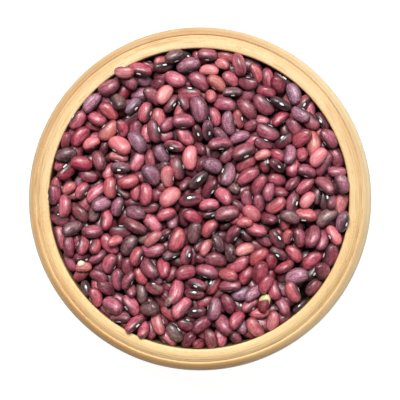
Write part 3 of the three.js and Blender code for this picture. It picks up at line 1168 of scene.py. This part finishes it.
# %% Coat finish
def coat_finish(name, colours, stain, roughness, dust, cracked):
    """A seed coat; its colours are the shade, used as painted shade in its folds and round its sides
    and for cracks and dark specks, then a dark, a light and an odd one, and the rest says how dark the
    eye's patch is, and how dusty and how cracked the coat is."""
    shade, dark, light, odd = [paint(code) for code in colours]
    even = {"Specular_IOR_Level": 0.6, "Coat_Weight": 0.35, "Coat_Roughness": 0.13, "Coat_IOR": 1.45}
    material, recipe, shader = new_finish(name, **even)
    place = object_place(recipe)
    spot = kept_on_points(recipe, "spot", "Vector")
    tone = Amount(recipe, kept_on_points(recipe, "tone"))
    along, belly, up = numbers_of(recipe, spot)
    mottle, speckle, wrinkles, net = coat_texture(recipe, place, spot, tone)
    patch, line, eye = belly_marks(along, belly, up, mottle, stain)
    oddness = (tone * 7.3).fraction().fade(0.6, 0.95)  # as good as a second draw for each bean
    # painted shade: each bean is darker round its sides, away from its flat faces
    edge = (up * up).fade(0.6, 0.0)
    colour = layered(
        recipe,
        blend(recipe, tone * 0.7 + mottle.fade(0.3, 0.7) * 0.7 - 0.2, dark, light),
        (oddness * (0.35 + 0.5 * mottle), odd),
        (wrinkles.fade(0.62, 0.36) * 0.5, shade),
        # painted shade round the bean's sides
        (edge * (0.45 + 0.4 * mottle), shade),
        (net * cracked * mottle.fade(0.3, 0.6), shade),
        (speckle.fade(0.5, 0.72) * dust, "dcb2bc"),
        (speckle.fade(0.48, 0.3) * dust, shade),
        (patch, blend(recipe, speckle, paint("14090c"), paint("4c3a40"))),
        (line, "0d0507"),
        (eye, "fbf8f2"),
        (depth_shade(recipe, place) * 0.7, "34080c"),
    )
    recipe.plug(shader.inputs["Base Color"], colour)
    recipe.plug(shader.inputs["Roughness"], roughness + 0.16 * mottle + 0.1 * eye - 0.06 * patch)
    height = mottle * 0.3 + wrinkles * 1.2 + speckle * 0.1 + eye * 0.8 - net * cracked * 0.3
    emboss(recipe, shader, height, strength=0.6, depth=0.25 * MM)
    return material


# %% One piece for each kind of bean
COATS = {  # its colours, then stain, roughness, dust and cracks
    "maroon_beans": (("38070e", "90384c", "d07088", "9e5a5c"), 0.9, 0.34, 0.25, 0.25),
    "mauve_beans": (("3f1320", "aa6078", "e4a2bc", "a690ae"), 0.85, 0.38, 0.35, 0.6),
    "crimson_beans": (("4e0810", "b83c54", "f0889c", "d8686a"), 0.8, 0.34, 0.2, 0.15),
    "coral_beans": (("7c2026", "cc6068", "f49ea2", "d88474"), 0.4, 0.36, 0.2, 0.2),
    "dark_beans": (("200a0f", "5e3640", "ac767c", "9a8070"), 1.0, 0.34, 0.3, 0.3),
    "salmon_beans": (("b44c56", "e87680", "fbabb0", "f6b0a8"), 0.2, 0.4, 0.12, 0.15),
}

heap_pieces = []
for seed, (name, members) in enumerate(kinds.items()):
    coat = coat_finish(name.replace("_beans", "_coat"), *COATS[name])
    heap_pieces.append(scattered_piece(name, members, coat, seed))

# %% [markdown]
# ## Broken bits
# A few beans broke on their way. One has split in two and shows its cream-coloured inside, and
# a chip and torn skins lie beside others. They are too light to push in among the beans, so each
# is laid flat on the nearest part of the heap under its place, and tilts with what it lies on.

# %% Where broken bits rest
SPLIT_HALF, CHIP = 6, 7  # numbers of forms
BIT_SINK = 0.2 * MM
LOOK_FROM = 3 * MM  # above the heap's surface
UP = Vector((0, 0, 1))
BROKEN_BITS = {  # form, size, x and y in millimetres, direction in degrees
    "split_bean": [(SPLIT_HALF, 1.0, 28.5, -45.8, 75)],
    "cream_chips": [(CHIP, 0.95, -50.5, -27.4, 20)],
    "torn_skins": [(SPLIT_HALF, 0.5, -18.5, -39.5, -40), (SPLIT_HALF, 0.6, -14.5, -44.5, 50)],
}

surfaces = []
for piece in heap_pieces:
    places = [vertex.co for vertex in piece.data.vertices]
    surfaces.append(BVHTree.FromPolygons(places, [face.vertices for face in piece.data.polygons]))
print("bits can rest on any of", len(surfaces), "pieces")


def resting_place(x, y):
    """The point of the heap nearest to a place just above it, and the way its surface faces there."""
    above = Vector((x * MM, y * MM, heap_height(math.hypot(x, y) * MM) + LOOK_FROM))
    hits = [surface.find_nearest(above) for surface in surfaces]
    place, facing, _, _ = min(hits, key=lambda hit: hit[3])  # the last is the distance
    return place, facing


def lay_bit(form, size, x, y, direction):
    """A bit that lies flat on what is under its place, sunk in a little."""
    place, facing = resting_place(x, y)
    turn = UP.rotation_difference(facing) @ Quaternion(UP, math.radians(direction))
    return Bean(form, size, place - BIT_SINK * facing, turn)


# %% Broken bits' finish
BARE_FLESH = {  # two colours of flesh, two of skin, and how far the skin reaches along a bit
    "split_bean": (("e6deb2", "cbbb80"), ("8e2c38", "581420"), 0.45),
    "cream_chips": (("faf0e2", "e8d8bc"), ("a06a5c", "7a3c38"), -1.0),
    "torn_skins": (("b09a8c", "8c766c"), ("a87a78", "6e4648"), 0.4),
}
FLESH_CLOUDS = 500.0  # bumps to the metre
SKIN_SPECKS = 1500.0


def broken_finish(name, flesh, skin, skin_to):
    """Bare flesh at one end of each bit and skin on the rest."""
    material, recipe, shader = new_finish(name, Roughness=0.5, Specular_IOR_Level=0.4)
    along, _, _ = numbers_of(recipe, kept_on_points(recipe, "spot", "Vector"))
    cloud = noise(recipe, object_place(recipe), FLESH_CLOUDS, 3.0)
    fine = noise(recipe, object_place(recipe), SKIN_SPECKS, 3.0)
    bare = blend(recipe, cloud.fade(0.35, 0.65), paint(flesh[0]), paint(flesh[1]))
    covered = blend(recipe, fine.fade(0.35, 0.65), paint(skin[0]), paint(skin[1]))
    under_skin = (along + 1.6 * (cloud - 0.5)).fade(skin_to, skin_to - 0.2)
    recipe.plug(shader.inputs["Base Color"], blend(recipe, under_skin, bare, covered))
    emboss(recipe, shader, cloud + 0.5 * fine, strength=0.6, depth=0.3 * MM)
    return material


for seed, (name, rows) in enumerate(BROKEN_BITS.items(), len(kinds)):
    bits = [lay_bit(*row) for row in rows]
    finish = broken_finish(f"{name}_finish", *BARE_FLESH[name])
    heap_pieces.append(scattered_piece(name, bits, finish, seed))

# %% [markdown]
# ## The core
# Nothing shows of the beans deep in the bowl but darkness between those on top, so one solid core
# fills it, a bean's depth down. It is turned like the bowl, then dented at random by up to half a
# bean, so that no smooth surface peeps through.

# %% Core
CORE_DEPTH = 12.8 * MM  # under the tops of the beans
CORE_GAP = 0.4 * MM  # to the bowl's wall
CORE_SIDES = 96
CORE_TOP_STEPS = 30
DENT_SIZE = 5 * MM
DENT_DEPTH = 4 * MM
CORE_MOTTLE = 200.0  # bumps to the metre


def core_outline():
    """From the middle of the bowl's floor up along its wall, then over the top to the middle."""
    edge = heap_height(MOUTH_RADIUS) - CORE_DEPTH
    lifted = [(max(0, r - CORE_GAP), z + CORE_GAP) for r, z in inner_wall()]
    sides = [(r, z) for r, z in lifted if z < edge]
    radii = np.linspace(sides[-1][0], 0, CORE_TOP_STEPS)
    return sides + [(r, heap_height(r) - CORE_DEPTH) for r in radii]


def shaded_finish():
    """The coats of beans that little light reaches."""
    material, recipe, shader = new_finish("shaded_coat", Roughness=0.6)
    mottle = noise(recipe, object_place(recipe), CORE_MOTTLE, 3.0)
    recipe.plug(shader.inputs["Base Color"], blend(recipe, mottle, paint("100406"), paint("2a0c14")))
    return material


core = new_piece("bean_core", turned_mesh("bean_core", core_outline(), CORE_SIDES))
core.data.materials.append(shaded_finish())
clouds = bpy.data.textures.new("core_dents", "CLOUDS")
clouds.noise_scale = DENT_SIZE
dents = core.modifiers.new("dents", "DISPLACE")
dents.texture = clouds
dents.direction = "Z"
dents.mid_level = 1.0
dents.strength = DENT_DEPTH
for piece in [core, *heap_pieces]:
    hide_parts("beans")
print("the heap is made of", 1 + len(heap_pieces), "pieces")
